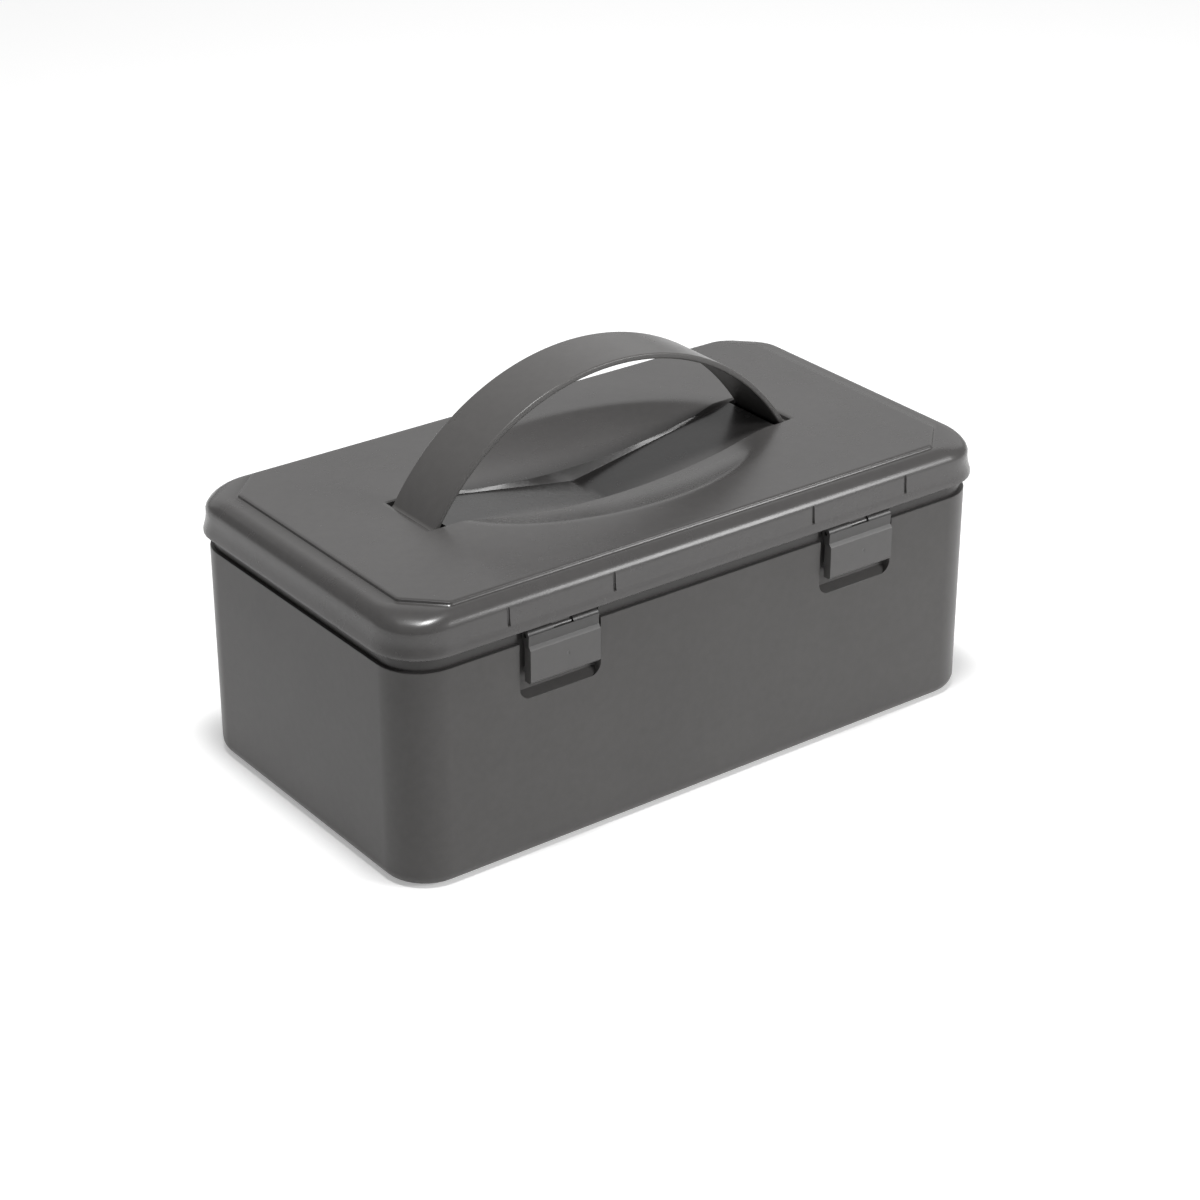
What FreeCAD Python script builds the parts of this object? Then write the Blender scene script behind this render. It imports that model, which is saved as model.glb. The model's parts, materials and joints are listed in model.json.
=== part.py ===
"""Toolbox with a lift-out tray: a parametric FreeCAD document.

Frame: X runs along the box, the latches face -Y, the rear hinges are at +Y,
Z is up, and the origin is on the ground under the middle of the box.
"""
import FreeCAD, Part
import os
from Sketcher import Constraint

App = FreeCAD
Vector = App.Vector

doc = App.newDocument("toolbox")
sheet = doc.addObject("Spreadsheet::Sheet", "Sizes")

# Driving dimensions in millimetres: (alias, value, what it is)
SIZES = [
    ("lid_length", 340, "lid across its lower lip, along X"),
    ("lid_depth", 186, "lid across its lower lip, along Y"),
    ("lid_corner", 25, "plan radius of the lid's lower lip"),
    ("lid_wall", 2.2, "lid wall thickness"),
    ("lip_land", 1.2, "upright land at the lid's lower lip"),
    ("flare_run", 3, "how far the lip stands out from the lid's side wall"),
    ("flare_rise", 6.5, "height of the flared skirt"),
    ("lid_side", 18.5, "lid's lower lip up to its shoulder band"),
    ("shoulder_round", 3, "round along the shoulder"),
    ("corner_cut", 18, "leg of the lid's cut upper corners"),
    ("plateau_step", 1.5, "raised panel above the shoulder band"),
    ("plateau_end_inset", 14.8, "lip to panel edge at the ends"),
    ("plateau_side_inset", 9.8, "lip to panel edge, front and back"),
    ("plateau_cut", 13, "leg of the panel's cut corners"),
    ("plateau_bevel", 0.7, "bevel round the raised panel"),
    ("ledge_z", 108, "height of the tub's outer ledge"),
    ("lip_gap", 7, "ledge to the lid's lower lip"),
    ("overhang", 2.7, "lid's lip past the tub's wall"),
    ("tub_wall", 2.6, "tub wall thickness"),
    ("tub_floor", 3, "tub floor thickness"),
    ("base_round", 6, "round along the tub's lower edge"),
    ("neck_step", 1.2, "tub's neck set back from its wall"),
    ("neck_height", 10.6, "neck above the ledge"),
    ("seat_gap", 0.3, "clearance where one piece rests on another"),
    ("dish_length", 184, "finger dish along X"),
    ("dish_width", 110, "finger dish along Y"),
    ("dish_sink", 12, "depth of the finger dish"),
    ("dish_rise", 28, "height of the dish's centre of curvature above the panel"),
    ("channel_width", 37, "strap channel across Y"),
    ("channel_start", 101, "outer end of a strap channel, from the middle"),
    ("channel_end", 30, "inner end of a strap channel, from the middle"),
    ("channel_slope", 0.17, "fall of the channel floor per unit of length"),
    ("strap_width", 34, "carrying strap across Y"),
    ("strap_thick", 3, "carrying strap thickness"),
    ("strap_span", 200, "strap between its feet at the panel"),
    ("strap_rise", 54.5, "strap's middle line above the panel"),
    ("strap_bend", 4.5, "bend of the strap's foot into its tab"),
    ("strap_tab", 20, "tab under the lid, past the bend"),
    ("slot_inner", 4, "slot's inner end from the strap's middle line"),
    ("slot_outer", 5.4, "slot's outer end from the strap's middle line"),
    ("slot_side", 1, "slot past the strap's edges"),
    ("clamp_thick", 2, "clamp plate thickness"),
    ("clamp_width", 15, "clamp plate along X"),
    ("clamp_length", 58, "clamp plate along Y"),
    ("boss_offset", 23.5, "screw boss from the middle line"),
    ("boss_diameter", 8, "screw boss diameter"),
    ("screw_diameter", 3, "clamp screw diameter"),
    ("screw_head", 5.6, "clamp screw head diameter"),
    ("screw_head_height", 1.8, "clamp screw head height"),
    ("screw_bite", 3.8, "screw length above the clamp plate"),
    ("latch_spacing", 172, "between the two latches' middles"),
    ("latch_width", 38, "latch along X"),
    ("latch_side_gap", 3, "latch to the side of its pocket"),
    ("latch_proud", 4, "latch face in front of the tub's wall"),
    ("latch_thick", 4.6, "latch tongue thickness"),
    ("latch_face_top", 3, "top of the latch face below the ledge"),
    ("latch_bottom", 19.2, "bottom of the latch below the ledge"),
    ("latch_bevel", 1, "bevel along the bottom of the latch"),
    ("barrel_radius", 2.8, "latch barrel radius"),
    ("barrel_lift", 3.5, "latch axis above the ledge"),
    ("barrel_setback", 0.3, "latch axis behind the tub's wall face"),
    ("latch_pin", 2.4, "latch pin diameter"),
    ("latch_pin_inset", 1, "latch pin end inside the barrel"),
    ("lug_width", 10, "lid's lug between the two halves of the barrel"),
    ("lug_radius", 1.95, "lid's lug around the latch pin"),
    ("lug_front", 0.7, "lug's arm in front of the latch axis"),
    ("latch_skin_inner", 2.3, "latch skin in front of the lug, inner face from the axis"),
    ("latch_skin_outer", 3.05, "latch skin in front of the lug, outer face from the axis"),
    ("pocket_depth", 4, "latch pocket behind the tub's wall face"),
    ("pocket_bottom", 28.2, "bottom of the pocket below the ledge"),
    ("pocket_scoop", 3, "height of the pocket's sloped bottom"),
    ("pocket_round", 6, "round of the pocket's lower corners"),
    ("catch_proud", 1.7, "catch rib in front of the pocket's floor"),
    ("catch_drop", 11, "middle of the catch rib below the ledge"),
    ("catch_height", 3, "catch rib along Z"),
    ("bead_gap", 0.4, "latch bead in front of the catch rib"),
    ("groove_spacing", 57, "between the two grooves beside a latch"),
    ("groove_width", 1.6, "groove along X"),
    ("groove_height", 9, "groove along Z"),
    ("groove_start", 6.6, "bottom of the groove above the lid's lip"),
    ("groove_depth", 0.8, "groove into the lid's front wall"),
    ("hinge_offset", 5, "hinge axis behind the lid's lip"),
    ("hinge_drop", 3, "hinge axis below the lid's lip"),
    ("knuckle_radius", 4, "hinge knuckle radius"),
    ("knuckle_length", 17.2, "lid's knuckle along X"),
    ("ear_length", 5, "each of the tub's hinge ears along X"),
    ("ear_gap", 0.4, "knuckle to ear"),
    ("hinge_pin", 3.5, "hinge pin diameter"),
    ("pin_fit", 0.02, "radial clearance where a pin is held"),
    ("running_fit", 0.08, "radial clearance where a piece turns on a pin"),
    ("tray_height", 42, "tray height"),
    ("tray_wall", 1.8, "tray wall thickness"),
    ("tray_floor", 2, "tray floor thickness"),
    ("tray_rim", 2, "tray rim past the tray's wall, and its height"),
    ("tray_end_gap", 1.2, "tray rim to the tub's end walls"),
    ("tray_side_gap", 0.8, "tray rim to the latch pockets"),
    ("tray_corner", 20, "plan radius of the tray's rim"),
    ("bearer_z", 62, "top of the tub's tray bearers"),
    ("bearer_width", 7, "tray bearer along X"),
    ("bearer_length", 110, "tray bearer along Y"),
    ("bearer_thick", 2.4, "tray bearer thickness"),
    ("gusset_height", 14, "gusset under a bearer"),
    ("middle_wall", 2.8, "tray's middle wall thickness"),
    ("grip_length", 90, "finger slot in the tray's middle wall"),
    ("grip_height", 19, "height of that finger slot"),
    ("grip_drop", 6, "finger slot below the tray's top"),
    ("divider_thick", 1.8, "divider thickness"),
    ("divider_height", 36, "divider height"),
    ("divider_gap", 0.3, "divider to what holds it"),
    ("divider_spacing", 164, "between the left and right dividers"),
    ("rib_width", 1.2, "guide rib along X"),
    ("rib_proud", 2, "guide rib out of its wall"),
]
for row, (alias, value, note) in enumerate(SIZES, start=1):
    sheet.set(f"A{row}", alias)
    sheet.set(f"B{row}", str(value))
    sheet.set(f"C{row}", note)
    sheet.setAlias(f"B{row}", alias)

# Sizes and places worked out from the driving ones: (alias, formula)
DERIVED = [
    ("lip_z", "ledge_z + lip_gap"),
    ("wall_foot_z", "lip_z + flare_rise"),
    ("band_z", "lip_z + lid_side"),
    ("panel_z", "band_z + plateau_step"),
    ("panel_under", "panel_z - lid_wall"),
    ("tub_length", "lid_length - 2 * overhang"),
    ("tub_depth", "lid_depth - 2 * overhang"),
    ("tub_corner", "lid_corner - overhang"),
    ("tub_front", "tub_depth / 2"),
    ("neck_top", "ledge_z + neck_height"),
    ("shelf_z", "neck_top + seat_gap"),
    ("arch_radius", "((strap_span / 2) ^ 2 + strap_rise ^ 2) / (2 * strap_rise)"),
    ("tab_z", "panel_under - strap_thick / 2"),
    ("clamp_top", "panel_under - strap_thick"),
    ("clamp_under", "clamp_top - clamp_thick"),
    ("barrel_y", "0 - tub_front + barrel_setback"),
    ("barrel_z", "ledge_z + barrel_lift"),
    ("pocket_y", "0 - tub_front + pocket_depth"),
    ("pocket_half", "latch_width / 2 + latch_side_gap"),
    ("catch_y", "pocket_y - catch_proud"),
    ("face_y", "0 - tub_front - latch_proud"),
    ("tongue_y", "face_y + latch_thick"),
    ("hinge_y", "lid_depth / 2 + hinge_offset"),
    ("hinge_z", "lip_z - hinge_drop"),
    ("hinge_half", "knuckle_length / 2 + ear_gap + ear_length"),
    ("tray_z", "bearer_z + seat_gap"),
    ("tray_top", "tray_z + tray_height"),
    ("rim_half_x", "tub_length / 2 - tub_wall - tray_end_gap"),
    ("rim_half_y", "tub_depth / 2 - pocket_depth - lid_wall - tray_side_gap"),
    ("tray_in_x", "rim_half_x - tray_rim - tray_wall"),
    ("tray_in_y", "rim_half_y - tray_rim - tray_wall"),
]
for row, (alias, formula) in enumerate(DERIVED, start=len(SIZES) + 2):
    sheet.set(f"A{row}", alias)
    sheet.set(f"B{row}", f"={formula}")
    sheet.setAlias(f"B{row}", alias)
doc.recompute()

NAMES = sorted([row[0] for row in SIZES] + [row[0] for row in DERIVED], key=len, reverse=True)


def linked(formula):
    """The formula with each alias written as a reference to the sheet."""
    text = str(formula)
    out = ""
    word = ""
    for mark in text + " ":
        if mark.isalnum() or mark == "_":
            word += mark
            continue
        out += f"Sizes.{word}" if word in NAMES else word
        out += mark
        word = ""
    return out.strip()


def value(formula):
    """The number that a formula gives now."""
    return float(sheet.evalExpression(linked(formula)))


def bind(item, **formulas):
    """Binds properties to formulas; a double underscore stands for a dot."""
    for name, formula in formulas.items():
        item.setExpression(name.replace("__", "."), linked(formula))
    return item


def place(item, x=0, y=0, z=0):
    return bind(item, Placement__Base__x=x, Placement__Base__y=y, Placement__Base__z=z)


# ---------------------------------------------------------------- sketches


def sketch_on(body, plane, offset):
    """A sketch on one of the body's own planes, moved along its normal."""
    sketch = body.newObject("Sketcher::SketchObject", f"{body.Name}_sketch")
    base = next(f for f in body.Origin.OriginFeatures if f.Role == plane)
    sketch.AttachmentSupport = [(base, "")]
    sketch.MapMode = "FlatFace"
    sketch.setExpression(".AttachmentOffset.Base.z", linked(offset))
    return sketch


def hold(sketch, kind, geometry, point, formula):
    """One driven distance from the sketch's origin to a point."""
    index = sketch.addConstraint(Constraint(kind, -1, 1, geometry, point, value(formula)))
    sketch.setExpression(f"Constraints[{index}]", linked(formula))


def polygon(sketch, points):
    """A closed outline whose corners are each driven by two formulas."""
    corners = [Vector(value(a), value(b), 0) for a, b in points]
    for start, end in zip(corners, corners[1:] + corners[:1]):
        sketch.addGeometry(Part.LineSegment(start, end), False)
    for i, (a, b) in enumerate(points):
        sketch.addConstraint(Constraint("Coincident", (i - 1) % len(points), 2, i, 1))
        hold(sketch, "DistanceX", i, 1, a)
        hold(sketch, "DistanceY", i, 1, b)


def padded(body, sketch, length, symmetric=False):
    pad = body.newObject("PartDesign::Pad", f"{body.Name}_pad")
    pad.Profile = sketch
    pad.Midplane = symmetric
    bind(pad, Length=length)
    doc.recompute()
    return pad


def edges_where(feature, test):
    """Names of the edges whose middle point passes the test."""
    names = []
    for i, edge in enumerate(feature.Shape.Edges, start=1):
        middle = edge.valueAt((edge.FirstParameter + edge.LastParameter) / 2)
        if test(middle, edge):
            names.append(f"Edge{i}")
    return names


def dress(body, kind, base, test, **formulas):
    """A fillet or chamfer on the chosen edges of the body's last feature."""
    feature = body.newObject(f"PartDesign::{kind}", f"{body.Name}_{kind.lower()}")
    feature.Base = (base, edges_where(base, test))
    bind(feature, **formulas)
    doc.recompute()
    return feature


def upright(middle, edge):
    ends = edge.Vertexes
    return abs(ends[0].Point.z - ends[-1].Point.z) > 0.01


def at_height(z):
    return lambda middle, edge: abs(middle.z - z) < 0.001


def slab(name, half_x, half_y, bottom, height, radius=None, cut=None):
    """An upright block with square, round or cut corners, centred on the Z axis."""
    body = doc.addObject("PartDesign::Body", name)
    sketch = sketch_on(body, "XY_Plane", bottom)
    x, y = f"({half_x})", f"({half_y})"
    if cut is None:
        corners = [(f"-{x}", f"-{y}"), (x, f"-{y}"), (x, y), (f"-{x}", y)]
    else:
        inner_x, inner_y = f"({x} - {cut})", f"({y} - {cut})"
        corners = [
            (f"-{inner_x}", f"-{y}"), (inner_x, f"-{y}"), (x, f"-{inner_y}"), (x, inner_y),
            (inner_x, y), (f"-{inner_x}", y), (f"-{x}", inner_y), (f"-{x}", f"-{inner_y}"),
        ]
    polygon(sketch, corners)
    last = padded(body, sketch, height)
    if radius is not None:
        last = dress(body, "Fillet", last, upright, Radius=radius)
    return body, last


def bar(name, plane, points, length, middle=0):
    """An outline extruded to both sides of its plane, moved along the plane's normal."""
    body = doc.addObject("PartDesign::Body", name)
    sketch = sketch_on(body, plane, middle)
    polygon(sketch, points)
    padded(body, sketch, length, symmetric=True)
    return body


def box(name, x, y, z):
    """A box given by its (low, high) formulas on the three axes."""
    item = doc.addObject("Part::Box", name)
    bind(item, Length=f"({x[1]}) - ({x[0]})", Width=f"({y[1]}) - ({y[0]})", Height=f"({z[1]}) - ({z[0]})")
    return place(item, x[0], y[0], z[0])


def rod(name, radius, length, x, y, z, axis="z"):
    """A cylinder that starts at a point and runs along +X or +Z."""
    item = doc.addObject("Part::Cylinder", name)
    if axis == "x":
        item.Placement.Rotation = App.Rotation(Vector(0, 1, 0), 90)
    bind(item, Radius=radius, Height=length)
    return place(item, x, y, z)


def fuse(name, *items):
    item = doc.addObject("Part::MultiFuse", name)
    item.Shapes = list(items)
    return item


def cut(name, base, *tools):
    item = doc.addObject("Part::Cut", name)
    item.Base = base
    item.Tool = tools[0] if len(tools) == 1 else fuse(f"{name}_tools", *tools)
    return item


def common(name, *items):
    item = doc.addObject("Part::MultiCommon", name)
    item.Shapes = list(items)
    return item


SIDES = [("left", "-"), ("right", "+")]


def latch_x(sign):
    return f"(0 {sign} latch_spacing / 2)"


# --------------------------------------------------------------------- tub


def tub_pocket(side, sign):
    """The wall that backs a latch pocket, and the tool that cuts the pocket."""
    x = latch_x(sign)
    bottom = "ledge_z - pocket_bottom"
    backing = bar(f"pocket_backing_{side}", "YZ_Plane", [
        ("0 - tub_front + tub_wall / 2", f"{bottom} - lid_wall"),
        ("pocket_y + lid_wall", f"{bottom} - lid_wall + pocket_scoop"),
        ("pocket_y + lid_wall", "neck_top"),
        ("0 - tub_front + neck_step + 0.3", "neck_top"),
    ], "2 * (pocket_half + lid_wall)", x)
    hollow = bar(f"pocket_hollow_{side}", "YZ_Plane", [
        ("face_y - 10", bottom),
        ("0 - tub_front", bottom),
        ("pocket_y", f"{bottom} + pocket_scoop"),
        ("pocket_y", "neck_top + 5"),
        ("face_y - 10", "neck_top + 5"),
    ], "2 * pocket_half", x)
    window = doc.addObject("PartDesign::Body", f"pocket_window_{side}")
    sketch = sketch_on(window, "XZ_Plane", "tub_front")
    left, right = f"{x} - pocket_half", f"{x} + pocket_half"
    polygon(sketch, [(left, bottom), (right, bottom), (right, "neck_top + 5"), (left, "neck_top + 5")])
    pad = padded(window, sketch, "60", symmetric=True)
    low = value(bottom)
    dress(window, "Fillet", pad, lambda m, e: abs(m.z - low) < 0.001 and abs(e.Length - 60) < 0.01,
          Radius="pocket_round")
    return backing, common(f"pocket_cut_{side}", hollow, window)


def tub_catch(side, sign):
    x = latch_x(sign)
    middle = "ledge_z - catch_drop"
    return bar(f"catch_{side}", "YZ_Plane", [
        ("pocket_y + 1", f"{middle} - catch_height / 2 - 0.6"),
        ("pocket_y + 1", f"{middle} + catch_height / 2 + 1.4"),
        ("pocket_y", f"{middle} + catch_height / 2 + 1.4"),
        ("catch_y", f"{middle} + catch_height / 2"),
        ("catch_y", f"{middle} - catch_height / 2"),
        ("pocket_y", f"{middle} - catch_height / 2 - 0.6"),
    ], "latch_width * 0.6", x)


def hinge_ear(name, start):
    """One of the tub's two ears beside a lid knuckle."""
    round_end = rod(f"{name}_round", "knuckle_radius", "ear_length", start, "hinge_y", "hinge_z", "x")
    arm = bar(f"{name}_arm", "YZ_Plane", [
        ("hinge_y + knuckle_radius * 0.85", "hinge_z - knuckle_radius * 0.5"),
        ("hinge_y - knuckle_radius * 0.9", "hinge_z + knuckle_radius * 0.35"),
        ("tub_front - 1", "ledge_z"),
        ("tub_front - 1", "ledge_z - 14"),
    ], "ear_length", f"{start} + ear_length / 2")
    return [round_end, arm]


def build_tub():
    shell, pad = slab("tub_block", "tub_length / 2", "tub_depth / 2", "0", "ledge_z", radius="tub_corner")
    dress(shell, "Fillet", pad, at_height(0), Radius="base_round")
    neck, _ = slab("neck_block", "tub_length / 2 - neck_step", "tub_depth / 2 - neck_step",
                   "ledge_z - 5", "neck_height + 5", radius="tub_corner - neck_step")
    hollow, _ = slab("tub_hollow", "tub_length / 2 - tub_wall", "tub_depth / 2 - tub_wall",
                     "tub_floor", "neck_top", radius="tub_corner - tub_wall")
    outside = fuse("tub_outside", shell, neck)
    walls = cut("tub_walls", outside, hollow)
    added = [walls]
    pockets = []
    bores = []
    for side, sign in SIDES:
        backing, pocket = tub_pocket(side, sign)
        added.append(backing)
        pockets.append(pocket)
        x = latch_x(sign)
        first = f"{x} - hinge_half"
        second = f"{x} + hinge_half - ear_length"
        added += hinge_ear(f"ear_{side}_a", first)
        added += hinge_ear(f"ear_{side}_b", second)
        bores.append(rod(f"ear_bore_{side}", "hinge_pin / 2 + pin_fit", "2 * hinge_half + 2",
                         f"{x} - hinge_half - 1", "hinge_y", "hinge_z", "x"))
        wall_x = f"(0 {sign} (tub_length / 2 - tub_wall + 1))"
        shelf_x = f"(0 {sign} (tub_length / 2 - tub_wall - bearer_width))"
        ends = (wall_x, shelf_x) if sign == "-" else (shelf_x, wall_x)
        added.append(box(f"bearer_{side}", ends, ("0 - bearer_length / 2", "bearer_length / 2"),
                         ("bearer_z - bearer_thick", "bearer_z")))
        for i in (-1, 0, 1):
            middle = f"{i} * bearer_length * 0.4"
            added.append(bar(f"gusset_{side}_{i + 1}", "XZ_Plane", [
                (wall_x, "bearer_z - bearer_thick / 2"),
                (shelf_x, "bearer_z - bearer_thick / 2"),
                (shelf_x, "bearer_z - bearer_thick - 1"),
                (wall_x, "bearer_z - bearer_thick - gusset_height"),
            ], "bearer_thick", middle))
    body = fuse("tub_body", *added)
    opened = cut("tub_opened", body, *pockets, *bores)
    return fuse("tub", opened, *[tub_catch(side, sign) for side, sign in SIDES])


# --------------------------------------------------------------------- lid


def lid_outside():
    skirt, pad = slab("lid_skirt", "lid_length / 2", "lid_depth / 2", "lip_z", "flare_rise",
                      radius="lid_corner")
    flare = skirt.newObject("PartDesign::Chamfer", "lid_skirt_flare")
    flare.Base = (pad, edges_where(pad, at_height(value("wall_foot_z"))))
    flare.ChamferType = "Two distances"
    flare.FlipDirection = True
    bind(flare, Size="flare_run", Size2="flare_rise - lip_land")
    doc.recompute()
    wall, pad = slab("lid_side_wall", "lid_length / 2 - flare_run", "lid_depth / 2 - flare_run",
                     "wall_foot_z - 1", "lid_side - flare_rise + 1", cut="corner_cut")
    dress(wall, "Fillet", pad, at_height(value("band_z")), Radius="shoulder_round")
    panel, pad = slab("lid_panel", "lid_length / 2 - plateau_end_inset", "lid_depth / 2 - plateau_side_inset",
                      "band_z - 1", "plateau_step + 1", cut="plateau_cut")
    dress(panel, "Chamfer", pad, at_height(value("panel_z")), Size="plateau_bevel")
    return fuse("lid_outside", skirt, wall, panel)


def lid_hollows():
    """The space inside the lid: the skirt, the side walls and under the raised panel."""
    foot, _ = slab("lid_foot_hollow", "lid_length / 2 - lid_wall", "lid_depth / 2 - lid_wall",
                   "lip_z - 5", "shelf_z - lip_z + 5", radius="lid_corner - lid_wall")
    side, _ = slab("lid_side_hollow", "lid_length / 2 - flare_run - lid_wall",
                   "lid_depth / 2 - flare_run - lid_wall", "lip_z", "band_z - lid_wall - lip_z",
                   cut="corner_cut - 0.6 * lid_wall")
    under, _ = slab("lid_panel_hollow", "lid_length / 2 - plateau_end_inset - lid_wall",
                    "lid_depth / 2 - plateau_side_inset - lid_wall", "lip_z",
                    "panel_under - lip_z", cut="plateau_cut - 0.6 * lid_wall")
    return [foot, side, under]


def dish_bowl(name, grow):
    """The ellipsoid of the finger dish, grown outwards for the skin under it."""
    bowl = doc.addObject("Part::Ellipsoid", name)
    reach = "sqrt(1 - (dish_rise / (dish_rise + dish_sink)) ^ 2)"
    bind(bowl, Radius1=f"dish_rise + dish_sink + {grow}", Radius2=f"dish_length / 2 / {reach} + {grow} * 1.5",
         Radius3=f"dish_width / 2 / {reach} + {grow} * 1.5")
    return place(bowl, 0, 0, "panel_z + dish_rise")


def strap_channel(name, sign, drop, side_grow):
    """A sloped channel from a strap slot down into the dish."""
    x_out = f"(0 {sign} channel_start)"
    x_in = f"(0 {sign} channel_end)"
    top = "panel_z + 5" if drop == "0" else "panel_under + 0.5"
    start = "panel_z - 0.4" if drop == "0" else "panel_under + 0.5 - 0.1"
    fall = "channel_slope * (channel_start - channel_end)"
    return bar(name, "XZ_Plane", [
        (x_out, start),
        (x_out, top),
        (x_in, top),
        (x_in, f"panel_z - 0.4 - {fall} - {drop}"),
    ], f"channel_width + 2 * {side_grow}", "0")


def lid_lug(side, sign):
    """The lug under the lid's lip that carries a latch."""
    x = latch_x(sign)
    eye = rod(f"lug_eye_{side}", "lug_radius", "lug_width", f"{x} - lug_width / 2",
              "barrel_y", "barrel_z", "x")
    arm = box(f"lug_arm_{side}", (f"{x} - lug_width / 2", f"{x} + lug_width / 2"),
              ("barrel_y - lug_front", "barrel_y + barrel_radius - 0.4"),
              ("barrel_z", "shelf_z + 1"))
    return [eye, arm]


def lid_knuckle(side, sign):
    x = latch_x(sign)
    eye = rod(f"knuckle_eye_{side}", "knuckle_radius", "knuckle_length", f"{x} - knuckle_length / 2",
              "hinge_y", "hinge_z", "x")
    arm = bar(f"knuckle_arm_{side}", "YZ_Plane", [
        ("hinge_y + knuckle_radius * 0.75", "hinge_z + knuckle_radius * 0.6"),
        ("lid_depth / 2 - flare_run - 0.5", "wall_foot_z + 1"),
        ("lid_depth / 2 - flare_run - 0.5", "lip_z + 0.3"),
        ("hinge_y - knuckle_radius * 0.9", "hinge_z + 0.5"),
    ], "knuckle_length", x)
    return [eye, arm]


def lid_groove(name, x):
    """One of the two shallow upright grooves beside a latch, in the lid's front wall."""
    return box(name, (f"{x} - groove_width / 2", f"{x} + groove_width / 2"),
               ("0 - lid_depth / 2 - 1", "0 - lid_depth / 2 + flare_run + groove_depth"),
               ("lip_z + groove_start", "lip_z + groove_start + groove_height"))


def strap_foot(sign):
    return f"(0 {sign} (strap_span / 2))"


def clamp_x(sign):
    """Middle of the clamp plate: on the strap's tab, under the lid."""
    return f"(0 {sign} (strap_span / 2 + slot_outer + clamp_width / 2 + 2))"


def build_lid():
    shell = cut("lid_shell", lid_outside(), *lid_hollows())
    inside = box("lid_inside", ("0 - lid_length / 2", "lid_length / 2"), ("0 - lid_depth / 2", "lid_depth / 2"),
                 ("shelf_z", "panel_under + 0.5"))
    skin = common("dish_skin", dish_bowl("dish_outer", "lid_wall"), inside)
    added = [shell, skin]
    removed = [dish_bowl("dish_inner", "0")]
    for side, sign in SIDES:
        added.append(strap_channel(f"channel_skin_{side}", sign, "lid_wall", "lid_wall"))
        removed.append(strap_channel(f"channel_{side}", sign, "0", "0"))
        added += lid_lug(side, sign) + lid_knuckle(side, sign)
        x = latch_x(sign)
        removed.append(rod(f"lug_bore_{side}", "latch_pin / 2 + pin_fit", "lug_width + 2",
                           f"{x} - lug_width / 2 - 1", "barrel_y", "barrel_z", "x"))
        removed.append(rod(f"knuckle_bore_{side}", "hinge_pin / 2 + running_fit", "knuckle_length + 2",
                           f"{x} - knuckle_length / 2 - 1", "hinge_y", "hinge_z", "x"))
        slot = (f"{strap_foot(sign)} - slot_outer", f"{strap_foot(sign)} + slot_inner")
        if sign == "+":
            slot = (f"{strap_foot(sign)} - slot_inner", f"{strap_foot(sign)} + slot_outer")
        removed.append(box(f"strap_slot_{side}", slot,
                           ("0 - strap_width / 2 - slot_side", "strap_width / 2 + slot_side"),
                           ("panel_under - 3", "panel_z + 3")))
        for end, lean in (("front", "-"), ("back", "+")):
            y = f"(0 {lean} boss_offset)"
            added.append(rod(f"boss_{side}_{end}", "boss_diameter / 2", "strap_thick + 0.5",
                             clamp_x(sign), y, "clamp_top"))
            removed.append(rod(f"boss_hole_{side}_{end}", "screw_diameter / 2 + pin_fit", "screw_bite + 1.2",
                               clamp_x(sign), y, "clamp_top - 1"))
        removed += [lid_groove(f"groove_{side}_{i}", f"({x} {lean} groove_spacing / 2)") for i, lean in enumerate("-+")]
    return cut("lid", fuse("lid_with_mounts", *added), *removed)


# ------------------------------------------------------------------ handle


def build_strap():
    """The carrying strap: one arch that bends under the lid into a tab at each end."""
    radius = value("arch_radius")
    bend = value("strap_bend")
    half = value("strap_thick") / 2
    width = value("strap_width")
    arch_z = value("panel_z + strap_rise") - radius
    bend_z = value("tab_z") + bend
    bend_x = ((radius + bend) ** 2 - (bend_z - arch_z) ** 2) ** 0.5
    tip_x = bend_x + value("strap_tab")
    to_arch = Vector(-bend_x, 0, arch_z - bend_z).normalize()
    halfway = (to_arch + Vector(0, 0, -1)).normalize()

    def at(x, z):
        return Vector(x, -width / 2, z)

    def mirrored(point):
        return at(-point.x, point.z)

    def face_of_strap(offset):
        """The strap's middle line moved outwards: two tabs, two bends and the arch."""
        corner = bend - offset
        start = at(bend_x + to_arch.x * corner, bend_z + to_arch.z * corner)
        middle = at(bend_x + halfway.x * corner, bend_z + halfway.z * corner)
        foot = at(bend_x, bend_z - corner)
        tip = at(tip_x, bend_z - corner)
        arch = Part.Arc(mirrored(start), at(0, arch_z + radius + offset), start)
        right = [Part.Arc(start, middle, foot), Part.LineSegment(foot, tip)]
        left = [Part.Arc(mirrored(start), mirrored(middle), mirrored(foot)),
                Part.LineSegment(mirrored(foot), mirrored(tip))]
        return [line.toShape() for line in [arch] + right + left], tip

    upper, upper_tip = face_of_strap(half)
    lower, lower_tip = face_of_strap(-half)
    ends = [Part.LineSegment(upper_tip, lower_tip).toShape(),
            Part.LineSegment(mirrored(upper_tip), mirrored(lower_tip)).toShape()]
    outline = Part.Wire(Part.__sortEdges__(upper + lower + ends))
    strap = doc.addObject("Part::Feature", "handle_strap")
    strap.Shape = Part.Face(outline).extrude(Vector(0, width, 0))
    strap.Placement = App.Placement()
    return strap


def build_clamp(side, sign):
    x = clamp_x(sign)
    plate = box(f"clamp_blank_{side}", (f"{x} - clamp_width / 2", f"{x} + clamp_width / 2"),
                ("0 - clamp_length / 2", "clamp_length / 2"), ("clamp_under", "clamp_top"))
    holes = [
        rod(f"clamp_hole_{side}_{end}", "screw_diameter / 2 + 0.2", "clamp_thick + 2", x,
            f"(0 {lean} boss_offset)", "clamp_under - 1")
        for end, lean in (("front", "-"), ("back", "+"))
    ]
    return cut(f"handle_clamp_{side}", plate, *holes)


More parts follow.
